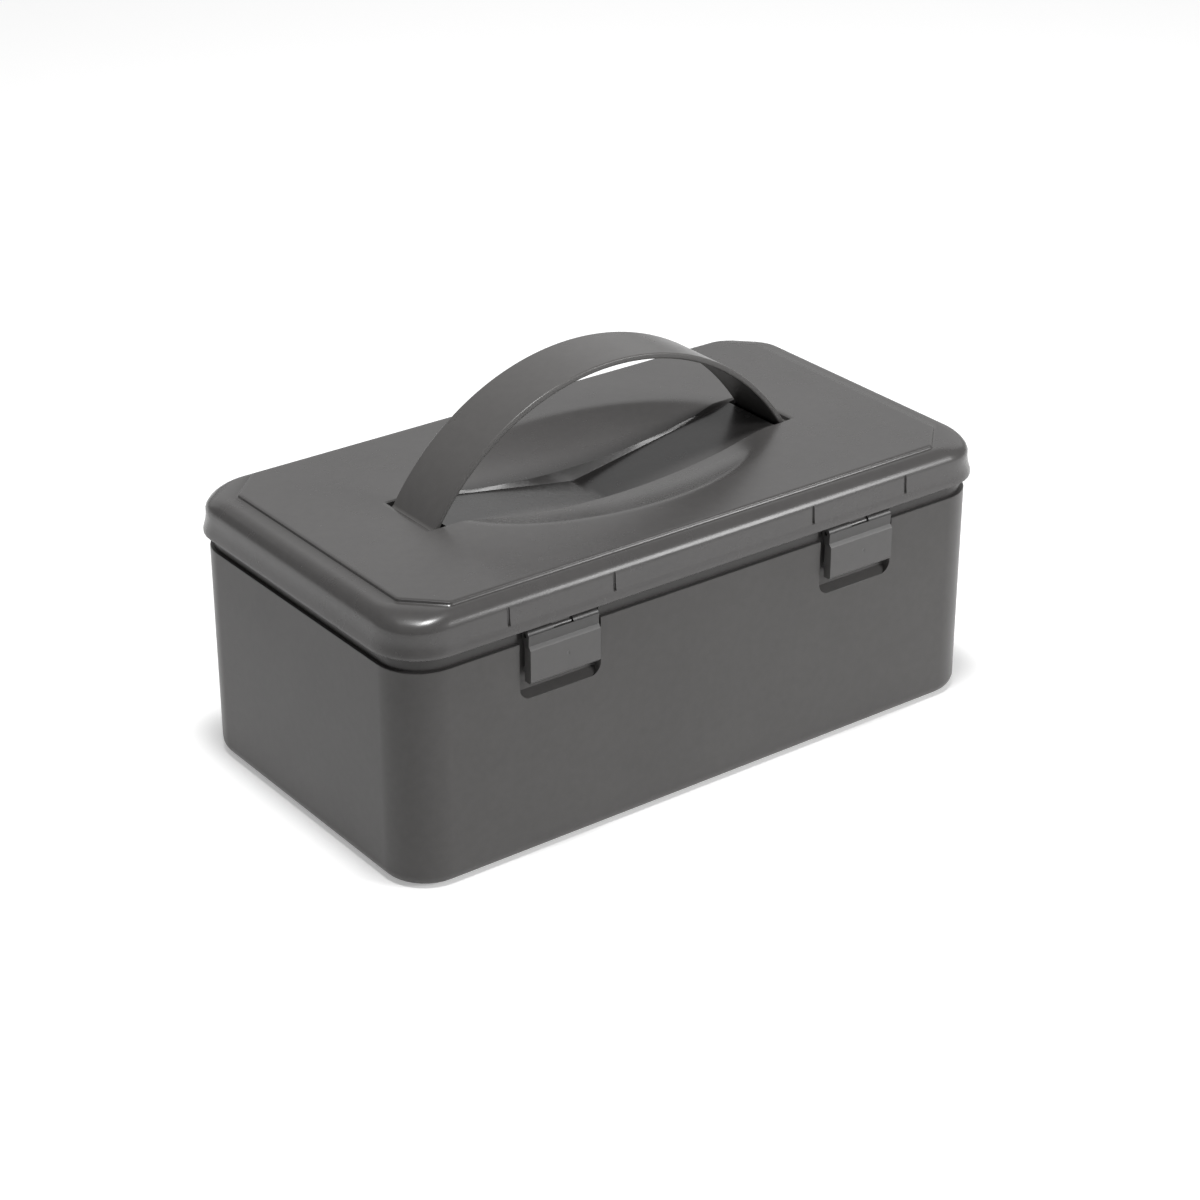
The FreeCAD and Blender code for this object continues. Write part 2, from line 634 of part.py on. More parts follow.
def build_clamp_screws(side, sign):
    """The two screws of one clamp plate, as two separate solids."""
    x = clamp_x(sign)
    screws = []
    for end, lean in (("front", "-"), ("back", "+")):
        y = f"(0 {lean} boss_offset)"
        shank = rod(f"screw_shank_{side}_{end}", "screw_diameter / 2", "clamp_thick + screw_bite", x, y, "clamp_under")
        head = rod(f"screw_head_{side}_{end}", "screw_head / 2", "screw_head_height", x, y,
                   "clamp_under - screw_head_height")
        drive = doc.addObject("Part::Prism", f"screw_drive_{side}_{end}")
        drive.Polygon = 4
        bind(drive, Circumradius="screw_head * 0.24", Height="screw_head_height * 0.6")
        place(drive, x, y, "clamp_under - screw_head_height")
        screws.append(cut(f"screw_{side}_{end}", fuse(f"screw_blank_{side}_{end}", shank, head), drive))
    group = doc.addObject("Part::Compound", f"handle_screws_{side}")
    group.Links = screws
    return group


# ----------------------------------------------------------------- latches


def build_latch(side, sign):
    x = latch_x(sign)
    bottom = "ledge_z - latch_bottom"
    catch = "ledge_z - catch_drop - catch_height / 2"
    bead_tip = "catch_y - bead_gap"
    tongue = bar(f"latch_tongue_{side}", "YZ_Plane", [
        ("barrel_y - latch_skin_outer", "barrel_z + 0.5"),
        ("face_y", "ledge_z - latch_face_top"),
        ("face_y", f"{bottom} + latch_bevel"),
        ("face_y + latch_bevel", bottom),
        ("tongue_y", bottom),
        ("tongue_y", f"{catch} - 4"),
        (bead_tip, f"{catch} - 3"),
        (bead_tip, f"{catch} - 1.5"),
        ("tongue_y", f"{catch} - 0.5"),
        ("tongue_y", "ledge_z - latch_face_top"),
        ("barrel_y + barrel_radius * 0.9", "barrel_z - barrel_radius * 0.4"),
        ("barrel_y", "barrel_z + 0.5"),
    ], "latch_width", x)
    barrel = rod(f"latch_barrel_{side}", "barrel_radius", "latch_width", f"{x} - latch_width / 2",
                 "barrel_y", "barrel_z", "x")
    bore = rod(f"latch_bore_{side}", "latch_pin / 2 + running_fit", "latch_width + 2",
               f"{x} - latch_width / 2 - 1", "barrel_y", "barrel_z", "x")
    across = (f"{x} - lug_width / 2 - ear_gap", f"{x} + lug_width / 2 + ear_gap")
    behind_skin = box(f"latch_lug_room_{side}", across,
                      ("barrel_y - latch_skin_inner", "barrel_y + barrel_radius + 3"),
                      ("barrel_z - barrel_radius - ear_gap", "barrel_z + barrel_radius + 3"))
    over_skin = box(f"latch_skin_top_{side}", across,
                    ("barrel_y - barrel_radius - 3", "barrel_y"),
                    ("barrel_z + 0.5", "barrel_z + barrel_radius + 3"))
    return cut(f"latch_{side}", fuse(f"latch_blank_{side}", tongue, barrel), bore, behind_skin, over_skin)


def build_pins(side, sign):
    x = latch_x(sign)
    rod(f"latch_pin_{side}", "latch_pin / 2", "latch_width - 2 * latch_pin_inset",
        f"{x} - latch_width / 2 + latch_pin_inset", "barrel_y", "barrel_z", "x")
    rod(f"hinge_pin_{side}", "hinge_pin / 2", "2 * hinge_half", f"{x} - hinge_half", "hinge_y", "hinge_z", "x")


# -------------------------------------------------------------------- tray


def divider_x(sign):
    return f"(0 {sign} divider_spacing / 2)"


def guide_ribs(name, x, front):
    """Four ribs that hold a divider by its two ends."""
    sign = "-" if front else "+"
    outer = f"(0 {sign} tray_in_y)"
    inner = f"(0 {sign} middle_wall / 2)"
    back = "+" if front else "-"
    reach = [
        (f"{outer} {sign} tray_wall / 2", f"{outer} {back} rib_proud"),
        (f"{inner} {sign} rib_proud", f"{inner} {back} middle_wall / 4"),
    ]
    ribs = []
    for i, (start, end) in enumerate(reach):
        span = (start, end) if front else (end, start)
        for j, step in enumerate(("-", "+")):
            near = f"({x} {step} (divider_thick / 2 + divider_gap))"
            far = f"({x} {step} (divider_thick / 2 + divider_gap + rib_width))"
            ends = (far, near) if step == "-" else (near, far)
            ribs.append(box(f"{name}_{i}{j}", ends, span, ("tray_z + tray_floor / 2", "tray_top - tray_rim")))
    return ribs


def build_tray():
    rim, _ = slab("tray_rim_block", "rim_half_x", "rim_half_y", "tray_top - tray_rim", "tray_rim",
                  radius="tray_corner")
    shell, pad = slab("tray_block", "rim_half_x - tray_rim", "rim_half_y - tray_rim", "tray_z",
                      "tray_height - tray_rim / 2", radius="tray_corner - tray_rim")
    low = value("tray_z")
    dress(shell, "Fillet", pad, at_height(low), Radius="tray_rim")
    hollow, _ = slab("tray_hollow", "tray_in_x", "tray_in_y", "tray_z + tray_floor", "tray_height",
                     radius="tray_corner - tray_rim - tray_wall")
    walls = cut("tray_walls", fuse("tray_outside", rim, shell), hollow)
    middle = box("tray_middle", ("0 - tray_in_x - tray_wall / 2", "tray_in_x + tray_wall / 2"),
                 ("0 - middle_wall / 2", "middle_wall / 2"), ("tray_z + tray_floor / 2", "tray_top - tray_rim / 2"))
    grip = doc.addObject("PartDesign::Body", "tray_grip")
    sketch = sketch_on(grip, "XZ_Plane", "0")
    high = "tray_top - grip_drop"
    polygon(sketch, [("0 - grip_length / 2", f"{high} - grip_height"), ("grip_length / 2", f"{high} - grip_height"),
                     ("grip_length / 2", high), ("0 - grip_length / 2", high)])
    pad = padded(grip, sketch, "middle_wall + 4", symmetric=True)
    through = value("middle_wall + 4")
    dress(grip, "Fillet", pad, lambda m, e: abs(e.Length - through) < 0.01 and abs(m.y) < 0.001,
          Radius="grip_height * 0.45")
    ribs = []
    for front in (True, False):
        for side, sign in SIDES:
            ribs += guide_ribs(f"rib_{'front' if front else 'back'}_{side}", divider_x(sign), front)
    return fuse("tray", cut("tray_body", fuse("tray_joined", walls, middle), grip), *ribs)


def build_divider(name, x, front):
    """A loose wall that slides down between its ribs, with a dip for a fingertip."""
    sign = "-" if front else "+"
    outer = f"(0 {sign} (tray_in_y - divider_gap))"
    inner = f"(0 {sign} (middle_wall / 2 + divider_gap))"
    span = (outer, inner) if front else (inner, outer)
    bottom = "tray_z + tray_floor + divider_gap"
    plate = box(f"{name}_blank", (f"{x} - divider_thick / 2", f"{x} + divider_thick / 2"), span,
                (bottom, f"{bottom} + divider_height"))
    middle = f"(0 {sign} (tray_in_y + middle_wall / 2) / 2)"
    dip = rod(f"{name}_dip", "14", "divider_thick + 2", f"{x} - divider_thick / 2 - 1", middle,
              f"{bottom} + divider_height + 6", "x")
    return cut(name, plate, dip)


# ------------------------------------------------------------------ build

parts = [build_tub(), build_lid(), build_strap(), build_tray()]
for side, sign in SIDES:
    parts.append(build_clamp(side, sign))
    parts.append(build_clamp_screws(side, sign))
    parts.append(build_latch(side, sign))
    build_pins(side, sign)
    parts += [doc.getObject(f"latch_pin_{side}"), doc.getObject(f"hinge_pin_{side}")]
    parts.append(build_divider(f"divider_front_{side}", divider_x(sign), True))
    parts.append(build_divider(f"divider_back_{side}", divider_x(sign), False))
doc.recompute()

failed = [item.Name for item in doc.Objects if "Invalid" in item.State or "Error" in item.State]
if failed:
    raise RuntimeError(f"objects failed to build: {failed}")

os.makedirs("parts", exist_ok=True)
for part in parts:
    part.Label = part.Name
    shape = part.Shape
    if shape.isNull() or not shape.isValid():
        raise RuntimeError(f"{part.Label} has no valid shape")
    shape.exportStep(f"parts/{part.Label}.step")
    size = shape.BoundBox
    print(f"{part.Label}: {len(shape.Solids)} solid(s), {shape.Volume / 1000:.2f} cm3, "
          f"x {size.XMin:.1f}..{size.XMax:.1f} y {size.YMin:.1f}..{size.YMax:.1f} z {size.ZMin:.1f}..{size.ZMax:.1f}")
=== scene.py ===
"""Toolbox with a lift-out tray: visual pieces, materials, lights and camera."""
import json
from math import atan2, cos, radians, sin, sqrt, tan
import bmesh
import bpy
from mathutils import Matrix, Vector


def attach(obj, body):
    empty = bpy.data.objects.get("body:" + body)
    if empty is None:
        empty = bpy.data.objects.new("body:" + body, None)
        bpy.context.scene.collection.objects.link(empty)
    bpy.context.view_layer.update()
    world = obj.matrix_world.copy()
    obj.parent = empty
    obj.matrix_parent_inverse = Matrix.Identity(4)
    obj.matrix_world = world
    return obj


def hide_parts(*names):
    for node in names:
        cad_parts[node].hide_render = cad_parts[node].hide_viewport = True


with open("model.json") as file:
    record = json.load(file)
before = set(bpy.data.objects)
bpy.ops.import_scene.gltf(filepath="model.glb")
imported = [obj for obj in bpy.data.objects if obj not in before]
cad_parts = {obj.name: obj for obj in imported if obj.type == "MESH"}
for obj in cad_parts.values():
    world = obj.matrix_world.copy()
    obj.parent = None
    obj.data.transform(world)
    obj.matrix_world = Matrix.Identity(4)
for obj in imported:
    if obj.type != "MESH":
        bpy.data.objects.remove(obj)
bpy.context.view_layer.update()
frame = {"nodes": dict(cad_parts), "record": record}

MM = 0.001
SIDES = (("left", -1), ("right", 1))

# The toolbox's sizes, in millimetres. Most repeat the frame's. The studio's places are in metres.
LIP_Z, BAND_Z, PANEL_Z = 115.0, 133.5, 135.0
LEDGE_Z, NECK_TOP = 108.0, 118.6
LID_X, LID_Y, LID_CORNER, LID_WALL = 170.0, 93.0, 25.0, 2.2
TUB_X, TUB_Y, TUB_CORNER, TUB_WALL = 167.3, 90.3, 22.3, 2.6
LATCH_X, LATCH_WIDTH, POCKET_HALF = 86.0, 38.0, 22.0
BARREL_Y, BARREL_Z, FACE_Y = -90.0, 111.5, -94.3
HINGE_Y, HINGE_Z = 98.0, 112.0
POCKET_Y, POCKET_LOW = -86.3, 79.8
ARCH_Z, BEND_X, BEND_Z = 70.51, 104.82, 135.8
STRAP_WIDTH, STRAP_THICK, STRAP_TAB, TAB_Z = 34.0, 3.0, 20.0, 131.3
DISH_X, DISH_Y, DISH_BALL, DISH_LEVEL = 92, 55, 40, 28
SLOT_NEAR, SLOT_FAR, SLOT_HALF = 96.0, 105.4, 18.0
CHANNEL_START, CHANNEL_SLOPE, CHANNEL_DEPTH = 101, 0.17, 0.4
GROOVE_REACH, GROOVE_HALF = 28.5, 0.8
HINGE_EYE, KNUCKLE_HALF, KNUCKLE_BORE, EAR_LENGTH, EAR_BORE = 4.0, 8.6, 1.83, 5, 1.77
LUG_RADIUS, LUG_HALF, LUG_BORE = 1.95, 5, 1.22
BOSS_X, BOSS_Y, BOSS_Z, BOSS_RADIUS, BOSS_HEIGHT = 114.9, 23.5, 131.5, 4, 3.4
FOOT_ROUND = 6
BEARER_WALL, BEARER_SHELF, BEARER_HALF, GUSSET_HALF = 165.7, 157.7, 55, 1.2
CATCH_HALF, LATCH_LOW, BARREL_RADIUS, BARREL_BORE = 11.4, 88.8, 2.8, 1.28

# These are for the looks alone: in the frame the lid is squarer and the tub's neck stands further out.
CUT_LEG, CUT_SOFT = 21.0, 6.0
FLARE_RUN, SHOULDER_TURN = 1.4, 7.8
NECK_SET_BACK = 2.0

# How finely the panel is divided, and how softly the dish and the channels meet it.
GRID_X, GRID_Y, GRID_STEP = 108, 60, 2.0
DISH_SOFT, CHANNEL_FADE = 1.3, 1.6


# ------------------------------------------------------------ small helpers


def deselect():
    if bpy.context.object and bpy.context.object.mode != "OBJECT":
        bpy.ops.object.mode_set(mode="OBJECT")
    bpy.ops.object.select_all(action="DESELECT")


def activate(obj):
    deselect()
    obj.select_set(True)
    bpy.context.view_layer.objects.active = obj


def edit(obj):
    activate(obj)
    bpy.ops.object.mode_set(mode="EDIT")


def done():
    bpy.ops.object.mode_set(mode="OBJECT")


def pick(obj, kind, test):
    """In edit mode, select the points, edges or faces that pass the test; it gets places in millimetres."""
    bpy.ops.mesh.select_mode(type=kind)
    bpy.ops.mesh.select_all(action="DESELECT")
    bm = bmesh.from_edit_mesh(obj.data)
    if kind == "VERT":
        for v in bm.verts:
            v.select = test(v.co / MM)
    elif kind == "EDGE":
        for e in bm.edges:
            e.select = test([v.co / MM for v in e.verts])
    else:
        for f in bm.faces:
            f.select = test(f.calc_center_median() / MM, f.normal)
    bm.select_flush_mode()
    bmesh.update_edit_mesh(obj.data)


def take(name):
    obj = bpy.context.object
    obj.name = name
    obj.data.name = name
    return obj


def block(name, x, y, z):
    """A block between two places on each axis."""
    deselect()
    middle = [(a + b) / 2 * MM for a, b in (x, y, z)]
    bpy.ops.mesh.primitive_cube_add(size=1, location=middle)
    bpy.context.object.scale = [(b - a) * MM for a, b in (x, y, z)]
    bpy.ops.object.transform_apply(location=True, rotation=True, scale=True)
    return take(name)


def rod(name, radius, x, y, z, sides=32):
    """A round bar along X between two places."""
    deselect()
    bpy.ops.mesh.primitive_cylinder_add(vertices=sides, radius=radius * MM, depth=(x[1] - x[0]) * MM,
                                        location=((x[0] + x[1]) / 2 * MM, y * MM, z * MM),
                                        rotation=(0, radians(90), 0))
    bpy.ops.object.transform_apply(location=True, rotation=True, scale=True)
    return take(name)


def prism(name, points, across, along="x"):
    """A flat outline, placed point by point, then extruded along an axis."""
    deselect()
    bpy.ops.mesh.primitive_circle_add(vertices=len(points), fill_type="NGON", radius=0.01)
    obj = take(name)
    edit(obj)
    bm = bmesh.from_edit_mesh(obj.data)
    bm.verts.ensure_lookup_table()
    for v, (a, b) in zip(bm.verts, points):
        v.co = Vector((across[0], a, b) if along == "x" else (a, across[0], b)) * MM
    bmesh.update_edit_mesh(obj.data)
    step = (across[1] - across[0]) * MM
    move = (step, 0, 0) if along == "x" else (0, step, 0)
    bpy.ops.mesh.select_all(action="SELECT")
    bpy.ops.mesh.extrude_region_move(TRANSFORM_OT_translate={"value": move})
    bpy.ops.mesh.select_all(action="SELECT")
    bpy.ops.mesh.normals_make_consistent(inside=False)
    done()
    return obj


def combine(obj, others, how):
    """Join or cut with other pieces, which are used up."""
    for other in others:
        activate(obj)
        mod = obj.modifiers.new("combine", "BOOLEAN")
        mod.operation = how
        mod.solver = "EXACT"
        mod.object = other
        bpy.ops.object.modifier_apply(modifier=mod.name)
        bpy.data.objects.remove(other)
    return obj


def soften(obj, width, segments=3, angle=35):
    """Round the piece's sharp edges."""
    activate(obj)
    mod = obj.modifiers.new("soften", "BEVEL")
    mod.width = width * MM
    mod.segments = segments
    mod.limit_method = "ANGLE"
    mod.angle_limit = radians(angle)
    mod.harden_normals = False
    bpy.ops.object.modifier_apply(modifier=mod.name)
    return obj


def finish_surface(obj, angle=32, keep_flat=True):
    """Smooth the shading up to an angle, and keep large flat faces evenly shaded if asked."""
    activate(obj)
    bpy.ops.object.shade_smooth_by_angle(angle=radians(angle))
    if keep_flat:
        mod = obj.modifiers.new("flat_faces", "WEIGHTED_NORMAL")
        mod.keep_sharp = True
        bpy.ops.object.modifier_apply(modifier=mod.name)
    return obj


def corner_points(kind, size, soft=3.0, steps=10):
    """Offsets, from the corner of a rectangle, of a rounded or a cut corner."""
    if kind == "round":
        turns = [radians(90) * i / (steps - 1) for i in range(steps)]
        return [(size * (cos(t) - 1), size * (sin(t) - 1)) for t in turns]
    half = steps // 2
    reach = soft * tan(radians(22.5))
    turns = [radians(45) * i / (half - 1) for i in range(half)]
    first = [(soft * (cos(t) - 1), soft * sin(t) - size - reach) for t in turns]
    second = [(soft * cos(t + radians(45)) - size - reach, soft * (sin(t + radians(45)) - 1)) for t in turns]
    return first + second


def outline(half_x, half_y, kind, size):
    """Points of a rectangle with dressed corners, anticlockwise from +X.

    kind is "round", "cut", or a number from 0, round, to 1, cut by CUT_LEG."""
    if kind in ("round", "cut"):
        corner = corner_points(kind, size)
    else:
        pairs = zip(corner_points("round", size), corner_points("cut", CUT_LEG, CUT_SOFT))
        corner = [(a + (c - a) * kind, b + (d - b) * kind) for (a, b), (c, d) in pairs]
    quarter = [(half_x + a, half_y + b) for a, b in corner]
    points = quarter + [(-a, b) for a, b in reversed(quarter)]
    return points + [(-a, -b) for a, b in points]


def turn_order(items, place):
    """Items sorted by their angle round the middle."""
    return sorted(items, key=lambda item: atan2(place(item)[1], place(item)[0]))


def stack(name, loops):
    """A closed piece that is extruded from one outline to the next, bottom first.

    Each loop is (half_x, half_y, kind, corner, z)."""
    deselect()
    first = outline(*loops[0][:4])
    bpy.ops.mesh.primitive_circle_add(vertices=len(first), fill_type="NGON", radius=0.01)
    obj = take(name)
    edit(obj)
    for i, loop in enumerate(loops):
        if i:
            bpy.ops.mesh.extrude_region_move(TRANSFORM_OT_translate={"value": (0, 0, 0)})
        bm = bmesh.from_edit_mesh(obj.data)
        points = turn_order(outline(*loop[:4]), lambda p: p)
        verts = turn_order([v for v in bm.verts if v.select], lambda v: v.co)
        for v, (x, y) in zip(verts, points):
            v.co = Vector((x, y, loop[4])) * MM
        bmesh.update_edit_mesh(obj.data)
    bpy.ops.mesh.select_all(action="SELECT")
    bpy.ops.mesh.normals_make_consistent(inside=False)
    done()
    return obj


# ---------------------------------------------------------------- materials


def plastic(name, base, roughness, grain=0.12, scuff=0.35, coarse=1600.0, shine=0.5, gap=None):
    """Moulded plastic: slight mottling, fine surface grain, rubbed areas, and painted shade above the gap's
    height, where the lid's lip casts shadow.
    """
    mat = bpy.data.materials.new(name)
    mat.use_nodes = True
    nodes, links = mat.node_tree.nodes, mat.node_tree.links
    shader = nodes["Principled BSDF"]
    shader.inputs["IOR"].default_value = 1.49
    shader.inputs["Specular IOR Level"].default_value = shine
    coords = nodes.new("ShaderNodeTexCoord")

    def noise(scale, detail, rough=0.55):
        tex = nodes.new("ShaderNodeTexNoise")
        tex.inputs["Scale"].default_value = scale
        tex.inputs["Detail"].default_value = detail
        tex.inputs["Roughness"].default_value = rough
        links.new(coords.outputs["Object"], tex.inputs["Vector"])
        return tex

    def ranged(source, low, high, start=0.3, end=0.7):
        node = nodes.new("ShaderNodeMapRange")
        node.inputs["From Min"].default_value = start
        node.inputs["From Max"].default_value = end
        node.inputs["To Min"].default_value = low
        node.inputs["To Max"].default_value = high
        links.new(source, node.inputs["Value"])
        return node.outputs["Result"]

    cloud = noise(9.0, 4.0)
    speck = noise(240.0, 3.0)
    mix = nodes.new("ShaderNodeMix")
    mix.data_type = "RGBA"
    mix.inputs["A"].default_value = (*[c * 0.94 for c in base], 1)
    mix.inputs["B"].default_value = (*[c * 1.06 for c in base], 1)
    links.new(ranged(cloud.outputs["Fac"], 0.0, 1.0), mix.inputs["Factor"])
    fleck = nodes.new("ShaderNodeMix")
    fleck.data_type = "RGBA"
    fleck.blend_type = "MULTIPLY"
    fleck.inputs["Factor"].default_value = 1.0
    links.new(mix.outputs["Result"], fleck.inputs["A"])
    links.new(ranged(speck.outputs["Fac"], 0.96, 1.03), fleck.inputs["B"])
    tint = fleck.outputs["Result"]
    # Painted shade: above the height gap the colour is multiplied by 0.7, standing in for the shadow under
    # the lid's lip.
    if gap:
        split = nodes.new("ShaderNodeSeparateXYZ")
        links.new(coords.outputs["Object"], split.inputs["Vector"])
        painted_shade = nodes.new("ShaderNodeMix")
        painted_shade.data_type = "RGBA"
        painted_shade.blend_type = "MULTIPLY"
        painted_shade.inputs["Factor"].default_value = 1.0
        links.new(tint, painted_shade.inputs["A"])
        links.new(ranged(split.outputs["Z"], 1.0, 0.7, gap * MM, (gap + 0.6) * MM), painted_shade.inputs["B"])
        tint = painted_shade.outputs["Result"]
    links.new(tint, shader.inputs["Base Color"])
    rub = noise(26.0, 6.0, 0.7)
    links.new(ranged(rub.outputs["Fac"], roughness - 0.05 * scuff, roughness + 0.12 * scuff),
              shader.inputs["Roughness"])
    grit = noise(coarse, 2.0)
    sag = noise(14.0, 1.0)
    height = nodes.new("ShaderNodeMath")
    height.operation = "MULTIPLY_ADD"
    height.inputs[1].default_value = 2.0
    links.new(sag.outputs["Fac"], height.inputs[0])
    links.new(grit.outputs["Fac"], height.inputs[2])
    bump = nodes.new("ShaderNodeBump")
    bump.inputs["Strength"].default_value = grain
    bump.inputs["Distance"].default_value = 0.0002
    links.new(height.outputs["Value"], bump.inputs["Height"])
    links.new(bump.outputs["Normal"], shader.inputs["Normal"])
    return mat


def metal(name, base, roughness):
    """Plated steel with a fine even grain and rubbed areas."""
    mat = plastic(name, base, roughness, grain=0.1, scuff=0.8, coarse=2500.0)
    mat.node_tree.nodes["Principled BSDF"].inputs["Metallic"].default_value = 1.0
    return mat


LOOKS = {
    # The tub gets painted shade above the ledge, on the neck that the lid's lip shades.
    "tub": plastic("tub_plastic", (0.078, 0.0755, 0.074), 0.33, grain=0.05, shine=0.22, gap=108.0),
    "lid": plastic("lid_plastic", (0.07, 0.0675, 0.0665), 0.25, grain=0.035),
    "strap": plastic("strap_plastic", (0.1, 0.097, 0.095), 0.28, grain=0.035, shine=0.35),
    # The latch gets painted shade on its top, above 105.4 mm, where the lid's lip shades it.
    "latch": plastic("latch_plastic", (0.072, 0.07, 0.069), 0.34, grain=0.05, gap=105.4),
    "tray": plastic("tray_plastic", (0.15, 0.147, 0.144), 0.44),
    "divider": plastic("divider_plastic", (0.17, 0.167, 0.163), 0.42),
    "clamp": plastic("clamp_plastic", (0.05, 0.049, 0.05), 0.5, grain=0.2),
    "steel": metal("plated_steel", (0.62, 0.61, 0.59), 0.32),
}


def add(obj, body, look, *nodes):
    """Give a finished piece its material and the body that it moves with."""
    obj.data.materials.clear()
    obj.data.materials.append(LOOKS[look])
    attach(obj, body)
    if nodes:
        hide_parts(*nodes)


# ---------------------------------------------------------------------- lid


def dish_depth(x, y, grow=0.0):
    """Depth of the oval finger dish below the panel."""
    reach = sqrt(1 - (DISH_LEVEL / DISH_BALL) ** 2)
    inside = 1 - (x / (DISH_X / reach + grow)) ** 2 - (y / (DISH_Y / reach + grow)) ** 2
    deep = DISH_BALL * sqrt(inside) - DISH_LEVEL if inside > 0 else -DISH_LEVEL
    if abs(deep) > DISH_SOFT:
        return max(0.0, deep)
    return (deep + DISH_SOFT) ** 2 / (4 * DISH_SOFT)


def channel_depth(x, y, half):
    """Depth of the two strap channels, which fall towards the dish."""
    if abs(x) > SLOT_FAR:
        return 0.0
    across = min(1.0, max(0.0, (half - abs(y)) / CHANNEL_FADE + 0.5))
    across = across * across * (3 - 2 * across)
    return (CHANNEL_DEPTH + CHANNEL_SLOPE * max(0.0, CHANNEL_START - abs(x))) * across


def cut_places(reach, extra):
    """Places for the cuts that divide the panel: even steps, and the extra ones on both sides."""
    steps = int(2 * reach / GRID_STEP) + 1
    even = {round(-reach + GRID_STEP * i, 2) for i in range(steps)}
    return sorted(even | {sign * place for sign in (-1, 1) for place in extra})


def by_slot(place, sign):
    """Whether a place is on the edge of one side's strap slot."""
    along = SLOT_NEAR - 0.1 < place.x * sign < SLOT_FAR + 0.1
    return along and abs(place.y) < SLOT_HALF + 0.05 and place.z > 100


